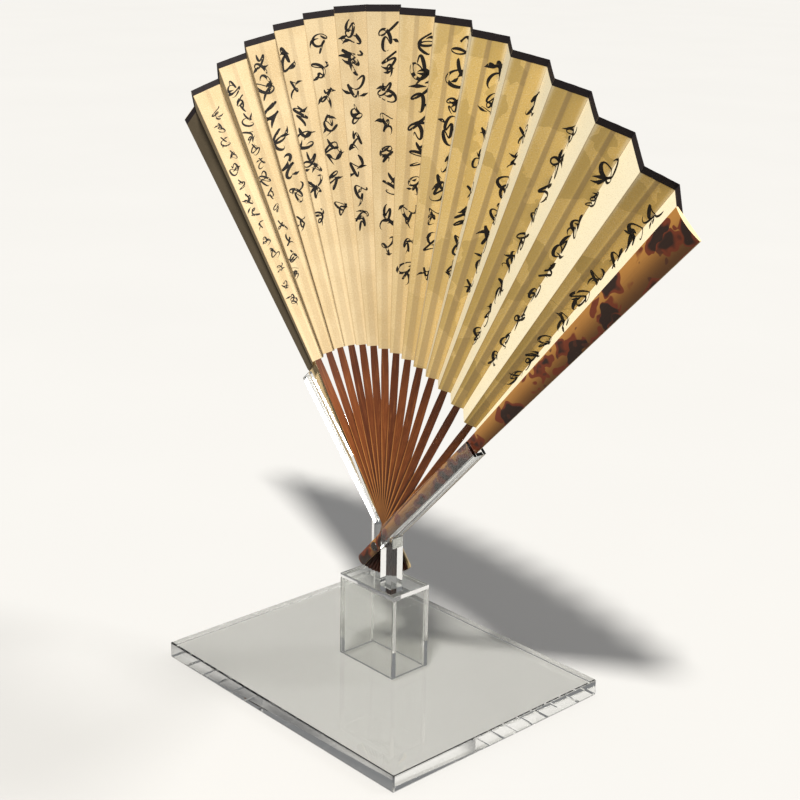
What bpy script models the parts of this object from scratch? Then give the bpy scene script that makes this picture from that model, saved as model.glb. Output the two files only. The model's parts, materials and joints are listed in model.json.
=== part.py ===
"""A folding fan standing open in a clear display stand.

Frame: the origin is the middle of the stand's underside.  X runs along the long side
of the base plate, Y to the rear, Z up.  The fan opens in planes parallel to XZ.
Every rib and guard turns on one rivet, whose axis is parallel to Y.
"""
import math

import bmesh
import bpy
from mathutils import Matrix, Vector

MM = 0.001
GAP = 0.3 * MM                       # running clearance between neighbouring pieces

# Stand
PLATE_SIZE = Vector((200, 160, 10)) * MM
PLATE_BEVEL = 0.8 * MM
PEDESTAL_SIZE = Vector((46, 28, 52)) * MM
SHEET = 2.5 * MM                     # acrylic sheet of the pedestal
POST_WIDTH = 9 * MM
POST_INNER_X = 10.4 * MM             # the front post's side nearest the rivet
REAR_POST_INNER_X = 12.6 * MM
REAR_POST_DEPTH = 3.7 * MM           # thin, so that the rib heads pass in front of it
CHANNEL_SHEET = 1.8 * MM
CHANNEL_FRONT = 12.75 * MM           # stack centre to the channel's outer face
CHANNEL_BACK = 4.0 * MM              # stack centre to the lip's inner face
CHANNEL_HEIGHT = 9.5 * MM
CHANNEL_START = 15 * MM              # along the guard, from the rivet
CHANNEL_KNEE = 55 * MM
CHANNEL_END = 113 * MM
# Lip heights above the floor, at places along the guard; None is the channel's low end.
# The front lip stays low, because the ribs close over it.
FRONT_LIP = ((None, 0.3 * MM), (CHANNEL_END, 2.0 * MM))
REAR_LIP = ((None, 0.3 * MM), (CHANNEL_KNEE, 6.0 * MM), (CHANNEL_END, 6.0 * MM))

# Fan
PIVOT = Vector((0, 3, 84.8)) * MM
RIB_COUNT = 14
RIB_PITCH = 0.9 * MM                 # rib to rib along the rivet
RIB_MID_ANGLE = math.radians(0.9)
RIB_SPREAD = math.radians(33.4)      # linear and cubic terms of the ribs' spread
RIB_SPREAD_CUBIC = math.radians(3.4)
FRONT_GUARD_ANGLE = math.radians(43.0)
REAR_GUARD_ANGLE = math.radians(-41.7)

# Outlines in millimetres: reach from the rivet, then the width there.
RIB_OUTLINE = ((-19, 5.0), (-17.8, 6.6), (8, 6.4), (30, 4.9), (105, 4.3), (122, 3.4), (292, 2.2))
RIB_THICK = 0.6 * MM                 # below the leaf
RIB_THIN = 0.4 * MM                  # inside the leaf
RIB_THIN_FROM = 30 * MM
RIB_THIN_TO = 110 * MM
RIB_STEP = 9 * MM
TWIST_FROM = 15 * MM                 # from here to the leaf a rib turns into its pleat's plane
# The guards' outline adds the edge's thickness and the crown's rise.
GUARD_OUTLINE = ((-19, 5.2, 0.8, 0.6), (-17.6, 6.6, 0.9, 0.95), (40, 7.4, 0.9, 1.0),
                 (113, 8.6, 0.9, 1.0), (200, 13.4, 1.0, 1.3), (303, 19.4, 1.2, 1.8))
GUARD_CLEARANCE = 6.45 * MM          # stack centre to the guard's inner face
GUARD_FLARE = 0.0205                 # the guards lean outward by this slope
GUARD_CROWN_STEPS = 8
PIN_RADIUS = 1.5 * MM
PIN_HEAD_RADIUS = 2.6 * MM
PIN_HEAD_HEIGHT = 0.9 * MM
PIN_HEAD_DOME = ((0.0, 1.0), (0.6, 0.85), (0.93, 0.45), (1.0, 0.0))   # shares of both
ROUND_STEPS = 24
DRILL_LENGTH = 40 * MM
WELD = 0.01 * MM
SMOOTH_ANGLE = math.radians(35)

# Leaf
LEAF_IN = 116 * MM
LEAF_OUT = 302 * MM
PLEAT_HALF_ANGLE = math.radians(1.25)
PLEAT_DEPTH = 6.4 * MM               # fold line to rib plane, at the rim
LEAF_THICK = 0.4 * MM
FOLD_TRIM = 0.45 * MM                # each panel stops this far short of its fold line
GUARD_PASTE_ANGLE = math.radians(1.0)
PASTE_GAP = 0.6 * MM


def clear_scene():
    for old in list(bpy.data.objects):
        bpy.data.objects.remove(old, do_unlink=True)


def make_material(name, colour, roughness, metallic=0.0, transmission=0.0):
    material = bpy.data.materials.new(name)
    material.use_nodes = True
    shader = material.node_tree.nodes["Principled BSDF"]
    shader.inputs["Base Color"].default_value = (*colour, 1.0)
    shader.inputs["Roughness"].default_value = roughness
    shader.inputs["Metallic"].default_value = metallic
    shader.inputs["Transmission Weight"].default_value = transmission
    material.diffuse_color = (*colour, 1.0)
    return material


def link_object(name, mesh, material, parent=None, turn=None):
    """Put a mesh in the scene; turn is its rotation in its parent's frame."""
    item = bpy.data.objects.new(name, mesh)
    bpy.context.scene.collection.objects.link(item)
    if not mesh.materials:
        mesh.materials.append(material)
    item.parent = parent
    if turn is not None:
        item.matrix_local = turn
    return item


def mesh_from(name, bm):
    bmesh.ops.recalc_face_normals(bm, faces=bm.faces)
    mesh = bpy.data.meshes.new(name)
    bm.to_mesh(mesh)
    bm.free()
    return mesh


def smoothed(mesh):
    mesh.shade_smooth()
    mesh.set_sharp_from_angle(angle=SMOOTH_ANGLE)
    return mesh


def loft(name, rings):
    """A closed solid through rings of points, capped at both ends."""
    bm = bmesh.new()
    loops = [[bm.verts.new(point) for point in ring] for ring in rings]
    count = len(rings[0])
    for low, high in zip(loops, loops[1:]):
        for i in range(count):
            j = (i + 1) % count
            bm.faces.new((low[i], low[j], high[j], high[i]))
    bm.faces.new(loops[0])
    bm.faces.new(loops[-1])
    return mesh_from(name, bm)


def box_mesh(name, low, high):
    ring = [(low.x, low.y), (high.x, low.y), (high.x, high.y), (low.x, high.y)]
    return loft(name, [[Vector((x, y, z)) for x, y in ring] for z in (low.z, high.z)])


def interpolate(table, radius, column=1):
    """Straight-line reading of a table in millimetres; the first column is the radius."""
    position = radius / MM
    if position <= table[0][0]:
        return table[0][column] * MM
    for low, high in zip(table, table[1:]):
        if position <= high[0]:
            part = (position - low[0]) / (high[0] - low[0])
            return (low[column] + part * (high[column] - low[column])) * MM
    return table[-1][column] * MM


def smooth_step(value):
    value = min(max(value, 0.0), 1.0)
    return value * value * (3 - 2 * value)


def bore(mesh, radius):
    """The mesh with a hole through it along the rivet's axis."""
    drill = bmesh.new()
    along_y = Matrix.Rotation(math.pi / 2, 4, "X")
    bmesh.ops.create_cone(drill, cap_ends=True, segments=ROUND_STEPS, radius1=radius,
                          radius2=radius, depth=DRILL_LENGTH, matrix=along_y)
    cutter = link_object("drill", mesh_from("drill", drill), None)
    cutter.hide_render = True
    cutter.display_type = "WIRE"
    blank = link_object("blank", mesh, None)
    cut = blank.modifiers.new("bore", "BOOLEAN")
    cut.operation = "DIFFERENCE"
    cut.solver = "EXACT"
    cut.object = cutter
    graph = bpy.context.evaluated_depsgraph_get()
    drilled = bpy.data.meshes.new_from_object(blank.evaluated_get(graph))
    bpy.data.objects.remove(blank, do_unlink=True)
    bpy.data.objects.remove(cutter, do_unlink=True)
    drilled.materials.clear()
    return drilled


# Where the fan's parts lie


def rib_angle(index):
    """Angle from vertical, positive to the right; index 0 is the rearmost rib."""
    place = 2 * index / (RIB_COUNT - 1) - 1
    return RIB_MID_ANGLE + RIB_SPREAD * place + RIB_SPREAD_CUBIC * place ** 3


def rib_depth(index):
    return ((RIB_COUNT - 1) / 2 - index) * RIB_PITCH


def pleat_depth(radius):
    return PLEAT_DEPTH * radius / LEAF_OUT


def pleat_tilt():
    return math.atan2(PLEAT_DEPTH, LEAF_OUT * math.sin(PLEAT_HALF_ANGLE))


def panel_half_width(radius):
    return radius * math.sin(PLEAT_HALF_ANGLE) / math.cos(pleat_tilt())


def guard_inner(radius):
    return GUARD_CLEARANCE + GUARD_FLARE * max(radius, 0.0)


def fan_point(radius, angle, depth):
    """A point of the fan, from the rivet's middle."""
    return Vector((radius * math.sin(angle), depth, radius * math.cos(angle)))


# Fan pieces, each modelled upright with the rivet at its origin


def rib_mesh():
    radii = {row[0] * MM for row in RIB_OUTLINE}
    first = RIB_OUTLINE[2][0] * MM
    last = RIB_OUTLINE[-2][0] * MM
    steps = math.ceil((last - first) / RIB_STEP)
    radii |= {first + (last - first) * i / steps for i in range(steps + 1)}
    rings = []
    for radius in sorted(radii):
        half = interpolate(RIB_OUTLINE, radius) / 2
        thinning = smooth_step((radius - RIB_THIN_FROM) / (RIB_THIN_TO - RIB_THIN_FROM))
        thick = (RIB_THICK + (RIB_THIN - RIB_THICK) * thinning) / 2
        twist = pleat_tilt() * smooth_step((radius - TWIST_FROM) / (LEAF_IN - TWIST_FROM))
        across = Vector((math.cos(twist), math.sin(twist), 0))
        through = Vector((-math.sin(twist), math.cos(twist), 0))
        up = Vector((0, 0, radius))
        corners = ((-1, -1), (1, -1), (1, 1), (-1, 1))
        rings.append([up + across * half * a + through * thick * b for a, b in corners])
    return bore(loft("rib", rings), PIN_RADIUS + GAP)


def guard_mesh():
    """The front guard; the rear one is the same piece turned round."""
    rings = []
    for row in GUARD_OUTLINE:
        radius = row[0] * MM
        half = row[1] * MM / 2
        inner = -guard_inner(radius)
        ring = [Vector((-half, inner, radius)), Vector((half, inner, radius))]
        for step in range(GUARD_CROWN_STEPS + 1):
            side = math.cos(math.pi * step / GUARD_CROWN_STEPS)
            rise = row[2] * MM + row[3] * MM * (1 - side * side)
            ring.append(Vector((half * side, inner - rise, radius)))
        rings.append(ring)
    return smoothed(bore(loft("guard", rings), PIN_RADIUS + GAP))


def rivet_mesh():
    seat = GUARD_CLEARANCE + (GUARD_OUTLINE[1][2] + GUARD_OUTLINE[1][3]) * MM + GAP
    half = [(PIN_HEAD_RADIUS * out, seat + PIN_HEAD_HEIGHT * up) for out, up in PIN_HEAD_DOME]
    half.append((PIN_RADIUS, seat))
    profile = half + [(radius, -along) for radius, along in reversed(half)]
    bm = bmesh.new()
    verts = [bm.verts.new((radius, along, 0)) for radius, along in profile]
    edges = [bm.edges.new(pair) for pair in zip(verts, verts[1:])]
    bmesh.ops.spin(bm, geom=verts + edges, cent=(0, 0, 0), axis=(0, 1, 0),
                   angle=2 * math.pi, steps=ROUND_STEPS, use_merge=True)
    bmesh.ops.remove_doubles(bm, verts=bm.verts, dist=WELD)
    return smoothed(mesh_from("rivet", bm))


def leaf_panel_mesh():
    """A rib's own pleat, with the slot that the rib lies in."""
    rib_tip = RIB_OUTLINE[-1][0] * MM
    rib_knee = RIB_OUTLINE[-2][0] * MM
    right = [(interpolate(RIB_OUTLINE, LEAF_IN) / 2 + GAP, LEAF_IN),
             (panel_half_width(LEAF_IN) - FOLD_TRIM, LEAF_IN),
             (panel_half_width(LEAF_OUT) - FOLD_TRIM, LEAF_OUT)]
    slot = [(interpolate(RIB_OUTLINE, rib_tip) / 2 + GAP, rib_tip + GAP),
            (interpolate(RIB_OUTLINE, rib_knee) / 2 + GAP, rib_knee)]
    outline = right + [(-x, z) for x, z in reversed(right)]
    outline += [(-x, z) for x, z in reversed(slot)] + slot
    turn = Matrix.Rotation(pleat_tilt(), 3, "Z")
    rings = [[turn @ Vector((x, side * LEAF_THICK / 2, z)) for x, z in outline]
             for side in (-1, 1)]
    return loft("leaf_panel", rings)


def leaf_fold_mesh(name, left, right):
    """A pleat between two fold lines; left and right give a fold's point at a radius."""
    rings = []
    for radius in (LEAF_IN, LEAF_OUT):
        start, end = left(radius), right(radius)
        across = (end - start).normalized()
        start, end = start + across * FOLD_TRIM, end - across * FOLD_TRIM
        through = across.cross(Vector((0, 0, 1))).normalized() * LEAF_THICK / 2
        rings.append([start - through, end - through, end + through, start + through])
    return loft(name, rings)


def rib_fold(index, side):
    """The fold line on one side of a rib (1 right, -1 left), as a function of the radius."""
    angle = rib_angle(index) + side * PLEAT_HALF_ANGLE

    def point(radius):
        return fan_point(radius, angle, rib_depth(index) + side * pleat_depth(radius))

    return point


def guard_fold(guard_angle, side):
    """The leaf's end line at a guard; side is 1 for the rear guard and -1 for the front one."""
    angle = guard_angle + side * GUARD_PASTE_ANGLE

    def point(radius):
        return fan_point(radius, angle, side * (guard_inner(radius) - PASTE_GAP))

    return point


def fold_lines():
    """Both fold lines of each connecting pleat, from the rear guard to the front guard."""
    left = [guard_fold(REAR_GUARD_ANGLE, 1)]
    left += [rib_fold(index, 1) for index in range(RIB_COUNT)]
    right = [rib_fold(index, -1) for index in range(RIB_COUNT)]
    right.append(guard_fold(FRONT_GUARD_ANGLE, -1))
    return zip(left, right)


def build_fan(wood, bamboo, horn, paper):
    pivot = bpy.data.objects.new("rivet_axis", None)
    bpy.context.scene.collection.objects.link(pivot)
    pivot.location = PIVOT

    guard = guard_mesh()
    front = Matrix.Rotation(FRONT_GUARD_ANGLE, 4, "Y")
    rear = Matrix.Rotation(REAR_GUARD_ANGLE, 4, "Y") @ Matrix.Rotation(math.pi, 4, "Z")
    link_object("guard_front", guard, bamboo, pivot, front)
    link_object("guard_rear", guard, bamboo, pivot, rear)
    link_object("rivet", rivet_mesh(), horn, pivot, Matrix.Identity(4))

    rib, panel = rib_mesh(), leaf_panel_mesh()
    for index in range(RIB_COUNT):
        place = Matrix.Translation((0, rib_depth(index), 0))
        turn = place @ Matrix.Rotation(rib_angle(index), 4, "Y")
        link_object(f"rib_{index + 1:02d}", rib, wood, pivot, turn)
        link_object(f"leaf_panel_{index + 1:02d}", panel, paper, pivot, turn)
    for index, (left, right) in enumerate(fold_lines()):
        name = f"leaf_fold_{index + 1:02d}"
        link_object(name, leaf_fold_mesh(name, left, right), paper, pivot, Matrix.Identity(4))


# Stand


def channel_line(guard_angle):
    """Direction angle of a guard's lower edge, and that edge's distance from the rivet."""
    low = interpolate(GUARD_OUTLINE, CHANNEL_START) / 2
    high = interpolate(GUARD_OUTLINE, CHANNEL_END) / 2
    taper = math.atan((high - low) / (CHANNEL_END - CHANNEL_START))
    return guard_angle + taper, low * math.cos(taper) - CHANNEL_START * math.sin(taper)


def channel_strip(name, guard_angle, start_x, depths, tops):
    """One strip of a channel, along the guard's lower edge.

    depths are its two faces in front of the stack centre; tops are (station, height above
    the channel's floor) pairs.  The low end is cut off upright at start_x.
    """
    angle, edge = channel_line(guard_angle)
    along = Vector((math.sin(angle), 0, math.cos(angle)))
    below = Vector((math.cos(angle), 0, -math.sin(angle)))
    floor = edge + GAP
    under = floor + CHANNEL_SHEET
    near, far = depths
    rings = []
    for station, height in tops:
        top = floor - height
        ring = []
        for depth, offset in ((near, top), (far, top), (far, under), (near, under)):
            reach = station
            if station is None:
                reach = (start_x - offset * below.x) / along.x
            ring.append(along * reach + below * offset - Vector((0, depth, 0)))
        rings.append(ring)
    return loft(name, rings)


def channel_strips(guard_angle, start_x, lip):
    """The strips of one channel by name: a tall wall, a floor and a lip."""
    wall_height = CHANNEL_HEIGHT - CHANNEL_SHEET
    wall_inner = CHANNEL_FRONT - CHANNEL_SHEET
    lip_inner = CHANNEL_BACK + CHANNEL_SHEET
    shapes = {
        "wall": ((CHANNEL_FRONT, wall_inner), ((None, wall_height), (CHANNEL_END, wall_height))),
        "floor": ((wall_inner - GAP, lip_inner + GAP), ((None, 0.0), (CHANNEL_END, 0.0))),
        "lip": ((lip_inner, CHANNEL_BACK), lip),
    }
    return {part: channel_strip(part, guard_angle, start_x, depths, tops)
            for part, (depths, tops) in shapes.items()}


def post_mesh(name, guard_angle, inner_x, depth):
    """A post from the pedestal up to the underside of its channel."""
    angle, edge = channel_line(guard_angle)
    under = edge + 2 * GAP + CHANNEL_SHEET
    foot = PLATE_SIZE.z + PEDESTAL_SIZE.z + GAP - PIVOT.z

    def top(x):
        reach = (x - under * math.cos(angle)) / math.sin(angle)
        return reach * math.cos(angle) - under * math.sin(angle)

    outer_x = inner_x + POST_WIDTH
    outline = ((inner_x, foot), (outer_x, foot), (outer_x, top(outer_x)), (inner_x, top(inner_x)))
    return loft(name, [[Vector((x, y, z)) for x, z in outline]
                       for y in (-CHANNEL_FRONT, depth - CHANNEL_FRONT)])


def build_stand(acrylic):
    half = PLATE_SIZE / 2
    low, high = Vector((-half.x, -half.y, 0)), Vector((half.x, half.y, PLATE_SIZE.z))
    base = link_object("base_plate", box_mesh("base_plate", low, high), acrylic)
    bevel = base.modifiers.new("polished_edge", "BEVEL")
    bevel.width = PLATE_BEVEL
    bevel.segments = 2

    wide, deep = PEDESTAL_SIZE.x / 2, PEDESTAL_SIZE.y / 2
    foot = PLATE_SIZE.z + GAP
    head = PLATE_SIZE.z + PEDESTAL_SIZE.z - SHEET - GAP
    inside = deep - SHEET - GAP
    walls = {
        "pedestal_front": ((-wide, -deep, foot), (wide, SHEET - deep, head)),
        "pedestal_back": ((-wide, deep - SHEET, foot), (wide, deep, head)),
        "pedestal_left": ((-wide, -inside, foot), (SHEET - wide, inside, head)),
        "pedestal_right": ((wide - SHEET, -inside, foot), (wide, inside, head)),
        "pedestal_top": ((-wide, -deep, head + GAP), (wide, deep, head + GAP + SHEET)),
    }
    centre = Vector((0, PIVOT.y, 0))
    for name, (low, high) in walls.items():
        link_object(name, box_mesh(name, Vector(low) + centre, Vector(high) + centre), acrylic)

    axis = bpy.data.objects.new("arms_axis", None)
    bpy.context.scene.collection.objects.link(axis)
    axis.location = PIVOT
    turned = Matrix.Rotation(math.pi, 4, "Z")
    post_depth = CHANNEL_FRONT - CHANNEL_BACK
    arms = (("front", FRONT_GUARD_ANGLE, FRONT_LIP, POST_INNER_X, post_depth, Matrix.Identity(4)),
            ("rear", -REAR_GUARD_ANGLE, REAR_LIP, REAR_POST_INNER_X, REAR_POST_DEPTH, turned))
    for side, angle, lip, inner_x, depth, turn in arms:
        for strip, mesh in channel_strips(angle, inner_x, lip).items():
            link_object(f"channel_{side}_{strip}", mesh, acrylic, axis, turn)
        post = post_mesh(f"post_{side}", angle, inner_x, depth)
        link_object(f"post_{side}", post, acrylic, axis, turn)


def main():
    clear_scene()
    acrylic = make_material("clear_acrylic", (0.92, 0.95, 0.94), 0.05, transmission=1.0)
    wood = make_material("rib_wood", (0.30, 0.10, 0.035), 0.4)
    bamboo = make_material("mottled_bamboo", (0.55, 0.25, 0.07), 0.3)
    horn = make_material("black_rivet", (0.02, 0.018, 0.016), 0.25)
    paper = make_material("leaf_paper", (0.66, 0.53, 0.33), 0.6)
    build_stand(acrylic)
    build_fan(wood, bamboo, horn, paper)


main()
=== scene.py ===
import json
import math
from dataclasses import dataclass

import bmesh
import bpy
import numpy as np
from mathutils import Matrix, Vector

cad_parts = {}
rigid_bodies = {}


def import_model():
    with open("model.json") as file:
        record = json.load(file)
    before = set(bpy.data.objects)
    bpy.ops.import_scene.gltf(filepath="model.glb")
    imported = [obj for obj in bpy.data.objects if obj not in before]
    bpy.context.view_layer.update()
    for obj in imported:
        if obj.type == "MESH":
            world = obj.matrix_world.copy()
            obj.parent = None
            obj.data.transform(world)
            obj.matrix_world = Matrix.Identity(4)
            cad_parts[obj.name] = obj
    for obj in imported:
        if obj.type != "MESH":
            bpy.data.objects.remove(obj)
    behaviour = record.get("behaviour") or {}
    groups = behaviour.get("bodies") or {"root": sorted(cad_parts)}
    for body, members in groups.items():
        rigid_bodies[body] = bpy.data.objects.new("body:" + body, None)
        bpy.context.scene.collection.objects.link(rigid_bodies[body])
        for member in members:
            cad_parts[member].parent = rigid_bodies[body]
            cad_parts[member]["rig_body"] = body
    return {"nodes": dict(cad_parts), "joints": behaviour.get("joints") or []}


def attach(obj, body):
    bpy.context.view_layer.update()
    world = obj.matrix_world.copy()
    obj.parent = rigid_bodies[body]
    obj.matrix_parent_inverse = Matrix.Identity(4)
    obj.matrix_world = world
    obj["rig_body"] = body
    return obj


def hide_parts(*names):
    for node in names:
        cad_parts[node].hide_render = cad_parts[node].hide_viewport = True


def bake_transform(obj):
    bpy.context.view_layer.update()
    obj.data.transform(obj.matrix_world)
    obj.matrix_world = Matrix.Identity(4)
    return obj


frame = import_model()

# The looks of a folding fan on a clear stand.
#
# X runs along the stand's long side, Y to the rear, Z up.  The fan's parts all turn on the
# rivet, so a place on the fan is given by its reach from the rivet and its angle from
# vertical.  The leaf is built pleat by pleat between fold lines that are read from the
# frame.  A place on the unrolled leaf is (turn, reach): an angle and a radius in the flat
# sheet of paper, which the paper's grain and the brush marks share.

MM = 0.001

# Leaf
FOLD_TRIM = 0.45 * MM            # the frame's pleats stop this far short of a fold line
PAPER_HALF = 0.07 * MM           # half the thickness of the two layers
RIDGE_HEIGHT = 0.17 * MM         # the paper stands this much prouder over a rib
RIDGE_SHOULDER = 0.9 * MM
RIB_HALF_AT_LEAF = 1.75 * MM     # half widths of the rib inside the leaf, low and high
RIB_HALF_AT_TIP = 1.1 * MM
PANEL_BULGE = 0.04 * MM          # how far a rib's pleat and a connecting pleat bow out: little,
PLEAT_BULGE = 0.08 * MM          # because they lie 0.3 mm apart when the fan is closed
WAVE_HEIGHT = 0.04 * MM
EDGING_HEIGHT = 3.5 * MM
EDGING_PROUD = 0.04 * MM
EDGING_PAST_RIM = 0.0008         # share of the leaf's height
PLEAT_COLUMNS = 24
PLEAT_ROWS = 46
EDGING_ROWS = 3
NO_RIB = 10 * MM                 # stands for the distance to a rib where there is none
OFF_RIB = (5 * MM, 9 * MM)       # over this distance from a rib, the right half's paper turns to the paler painted light between the ribs

# Guards and rivet
GUARD_STEP = 6 * MM
GUARD_CROWN_STEPS = 22
GUARD_EASE = 0.2 * MM            # small bevel along the inner face
SKIN_FACING = 0.6                # a face whose normal points outward by more than this is skin
SKIN_SMOOTH_ANGLE = math.radians(35)
SMOOTH_ANGLE = math.radians(40)
BORE_RADIUS = 1.8 * MM
BORE_SEGMENTS = 48
DRILL_LENGTH = 60 * MM
END_MARGIN = 0.8 * MM            # bare bamboo beside the pasted end strip
GROOVE_LENGTH = 0.12 * MM        # the fine groove round the rivet below each head
GROOVE_DEPTH = 0.15 * MM
HEAD_SIDE = 0.05 * MM            # points this near the full radius are on a head's side
DOME_STEPS = 9
TURN_STEPS = 40
WELD = 0.001 * MM

# Eased edges
RIB_EASE = 0.24 * MM
ACRYLIC_EASE = 0.6 * MM
EASE_SEGMENTS = 2
EASE_ANGLE = math.radians(50)

# Brush marks
MARK_SEED = 27
MARK_COLUMNS = 14
SMALL_MARK_COLUMNS = 2
MARK_SIZE = 13.5 * MM
SMALL_MARK_SIZE = 8.5 * MM
MARK_PITCH = 15.0 * MM           # of the large marks
TOP_MARGIN = (13 * MM, 24 * MM)  # least and most bare paper above and below a column
FOOT_MARGIN = (12 * MM, 70 * MM)
INK_LIFT = 0.03 * MM
STROKE_POINTS = 44
FLICK_POINTS = 9

# Ribs
RIB_SEED = 4
GRAIN_SHIFT = 7.0                # moves each rib's grain, so that no two are the same

# Tolerances for reading the frame's meshes
SAME_PLACE = 0.02 * MM
AT_RIM = 0.1 * MM
AT_TIP = 1 * MM
PAST_BORE = 3 * MM

# Camera, floor and light
FLOOR_REACH = 30.0
FLOOR_DROP = 0.05 * MM           # keeps the floor clear of the plate's underside
KEY_TOWARD = (-0.28, 0.42, -0.86)
BACK_TOWARD = (-0.45, -0.55, -0.70)
SENSOR = 36.0
CAMERA_PLACE = Vector((0.6039, -0.5511, 0.4350))
CAMERA_YAW = math.radians(46.97)
CAMERA_PITCH = math.radians(17.81)
CAMERA_ROLL = math.radians(1.12)
CAMERA_LENS = 68.9
AMBIENT = 0.22                   # brightness of the sky, and of the backdrop behind the fan
BACKDROP = 0.97
CLEAR_BOUNCES = 20               # light is passed on many times inside a clear sheet

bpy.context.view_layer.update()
NODES = frame["nodes"]
JOINTS = {joint["name"]: joint for joint in frame["joints"]}
PIVOT = np.array(JOINTS["fold"]["pos_m"])
RIB_NAMES = sorted(name for name in NODES if name.startswith("rib_"))
RIB_COUNT = len(RIB_NAMES)


# Reading the frame


def node_points(name):
    """A node's vertices, from the rivet's middle."""
    return np.array([vertex.co for vertex in NODES[name].data.vertices]) - PIVOT


def body_of(node):
    return NODES[node]["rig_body"]


def turned(points, angle):
    """Points in the frame of a stick at that angle: across it, depth, along it."""
    across = np.array((math.cos(angle), 0, -math.sin(angle)))
    along = np.array((math.sin(angle), 0, math.cos(angle)))
    return np.stack([points @ across, points[:, 1], points @ along], 1)


def fan_point(angle, across, depth, along):
    """The world point at that place on a stick."""
    return PIVOT + np.array((
        across * math.cos(angle) + along * math.sin(angle), depth,
        along * math.cos(angle) - across * math.sin(angle)))


def stick_line(name):
    """Angle and depth of a stick, from the middle of its tip."""
    points = node_points(name)
    reach = np.hypot(points[:, 0], points[:, 2])
    tip = points[reach > reach.max() - AT_TIP].mean(0)
    return math.atan2(tip[0], tip[2]), tip[1]


# The pleats


@dataclass
class Pleat:
    """A flat strip of the leaf between two fold lines, each a pair of inner and outer points."""
    name: str
    left: tuple
    right: tuple
    bodies: tuple
    node: str
    ribbed: bool
    turn: float = 0.0        # where it starts on the unrolled leaf, and how far it goes
    sweep: float = 0.0

    def point(self, u, v):
        """The middle surface's points; u goes from left to right and v outward."""
        start = self.left[0] + np.multiply.outer(v, self.left[1] - self.left[0])
        end = self.right[0] + np.multiply.outer(v, self.right[1] - self.right[0])
        return start + (end - start) * np.asarray(u)[..., None]

    def normal(self):
        """The unit normal that points to the front."""
        across = self.right[1] - self.left[1]
        along = (self.left[1] + self.right[1] - self.left[0] - self.right[0])
        facing = np.cross(across, along)
        facing /= np.linalg.norm(facing)
        return facing if facing[1] < 0 else -facing

    def width(self, v):
        """The distance between the folds at v."""
        inner = np.linalg.norm(self.right[0] - self.left[0])
        outer = np.linalg.norm(self.right[1] - self.left[1])
        return inner + (outer - inner) * np.asarray(v)

    def fold_angles(self):
        """The two fold lines' angles about the rivet."""
        return [math.atan2(*(line[1] - PIVOT)[[0, 2]]) for line in (self.left, self.right)]


def rib_pleat(index):
    """The pleat that a rib runs through, from the frame's panel."""
    rib = RIB_NAMES[index]
    panel = rib.replace("rib", "leaf_panel")
    angle, depth = stick_line(rib)
    points = turned(node_points(panel), angle)
    inner, outer = points[:, 2].min(), points[:, 2].max()
    rim = points[(points[:, 2] > outer - AT_RIM) & (points[:, 0] > 0)].mean(0)
    half_rim = math.hypot(rim[0], rim[1] - depth)
    tilt = math.atan2(rim[1] - depth, rim[0])
    slope = (half_rim + FOLD_TRIM) / outer
    lines = []
    for side in (-1, 1):
        lines.append(tuple(fan_point(angle, side * slope * reach * math.cos(tilt),
                                     depth + side * slope * reach * math.sin(tilt), reach)
                           for reach in (inner, outer)))
    return Pleat(f"panel_{index + 1:02d}", lines[0], lines[1], (body_of(rib),), panel, True)


def guard_line(node, side, facing):
    """The fold line at a guard, where the frame's last pleat ends; facing is its other line."""
    points = node_points(node)
    reach = np.hypot(points[:, 0], points[:, 2])
    middle = (reach.min() + reach.max()) / 2
    line = []
    for part, other in zip((points[reach < middle], points[reach >= middle]), facing):
        angle = np.arctan2(part[:, 0], part[:, 2]) * side
        end = part[np.argsort(angle)[-2:]].mean(0) + PIVOT
        away = end - other
        line.append(end + away / np.linalg.norm(away) * FOLD_TRIM)
    return tuple(line)


def all_pleats():
    """Every pleat from the rear guard to the front one."""
    panels = [rib_pleat(index) for index in range(RIB_COUNT)]
    nodes = [f"leaf_fold_{index + 1:02d}" for index in range(RIB_COUNT + 1)]
    line, body = guard_line(nodes[0], -1, panels[0].left), body_of("guard_rear")
    pleats = []
    for index, panel in enumerate(panels):
        bodies = (body, panel.bodies[0])
        pleats.append(Pleat(f"pleat_{index + 1:02d}", line, panel.left, bodies, nodes[index], False))
        pleats.append(panel)
        line, body = panel.right, panel.bodies[0]
    end, bodies = guard_line(nodes[-1], 1, line), (body, body_of("guard_front"))
    pleats.append(Pleat(f"pleat_{RIB_COUNT + 1:02d}", line, end, bodies, nodes[-1], False))
    return pleats


def unroll(pleats):
    """Places the pleats side by side on the flat sheet; gives the sheet's whole angle."""
    turn = 0.0
    for pleat in pleats:
        pleat.sweep = float(pleat.width(1.0)) / LEAF_OUT
        pleat.turn = turn
        turn += pleat.sweep
    return turn


def leaf_reach():
    """The leaf's inner and outer radius."""
    points = turned(node_points("leaf_panel_01"), stick_line("rib_01")[0])
    return points[:, 2].min(), points[:, 2].max()


def reach_at(v):
    return LEAF_IN + LEAF_HEIGHT * v


LEAF_IN, LEAF_OUT = leaf_reach()
LEAF_HEIGHT = LEAF_OUT - LEAF_IN
PLEATS = all_pleats()
LEAF_SWEEP = unroll(PLEATS)
EDGING_SPAN = (1 - EDGING_HEIGHT / LEAF_HEIGHT, 1 + EDGING_PAST_RIM)


# Meshes


def link(name, mesh, material=None):
    """A new object in the scene."""
    item = bpy.data.objects.new(name, mesh)
    bpy.context.scene.collection.objects.link(item)
    if material is not None:
        mesh.materials.append(material)
    return item


def mesh_of(name, points, faces):
    mesh = bpy.data.meshes.new(name)
    mesh.from_pydata([tuple(point) for point in points], [], faces)
    mesh.validate()
    mesh.update()
    smooth(mesh, SMOOTH_ANGLE)
    return mesh


def mesh_from(name, shape):
    """A mesh from a bmesh, which is freed."""
    mesh = bpy.data.meshes.new(name)
    shape.to_mesh(mesh)
    shape.free()
    return mesh


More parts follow.
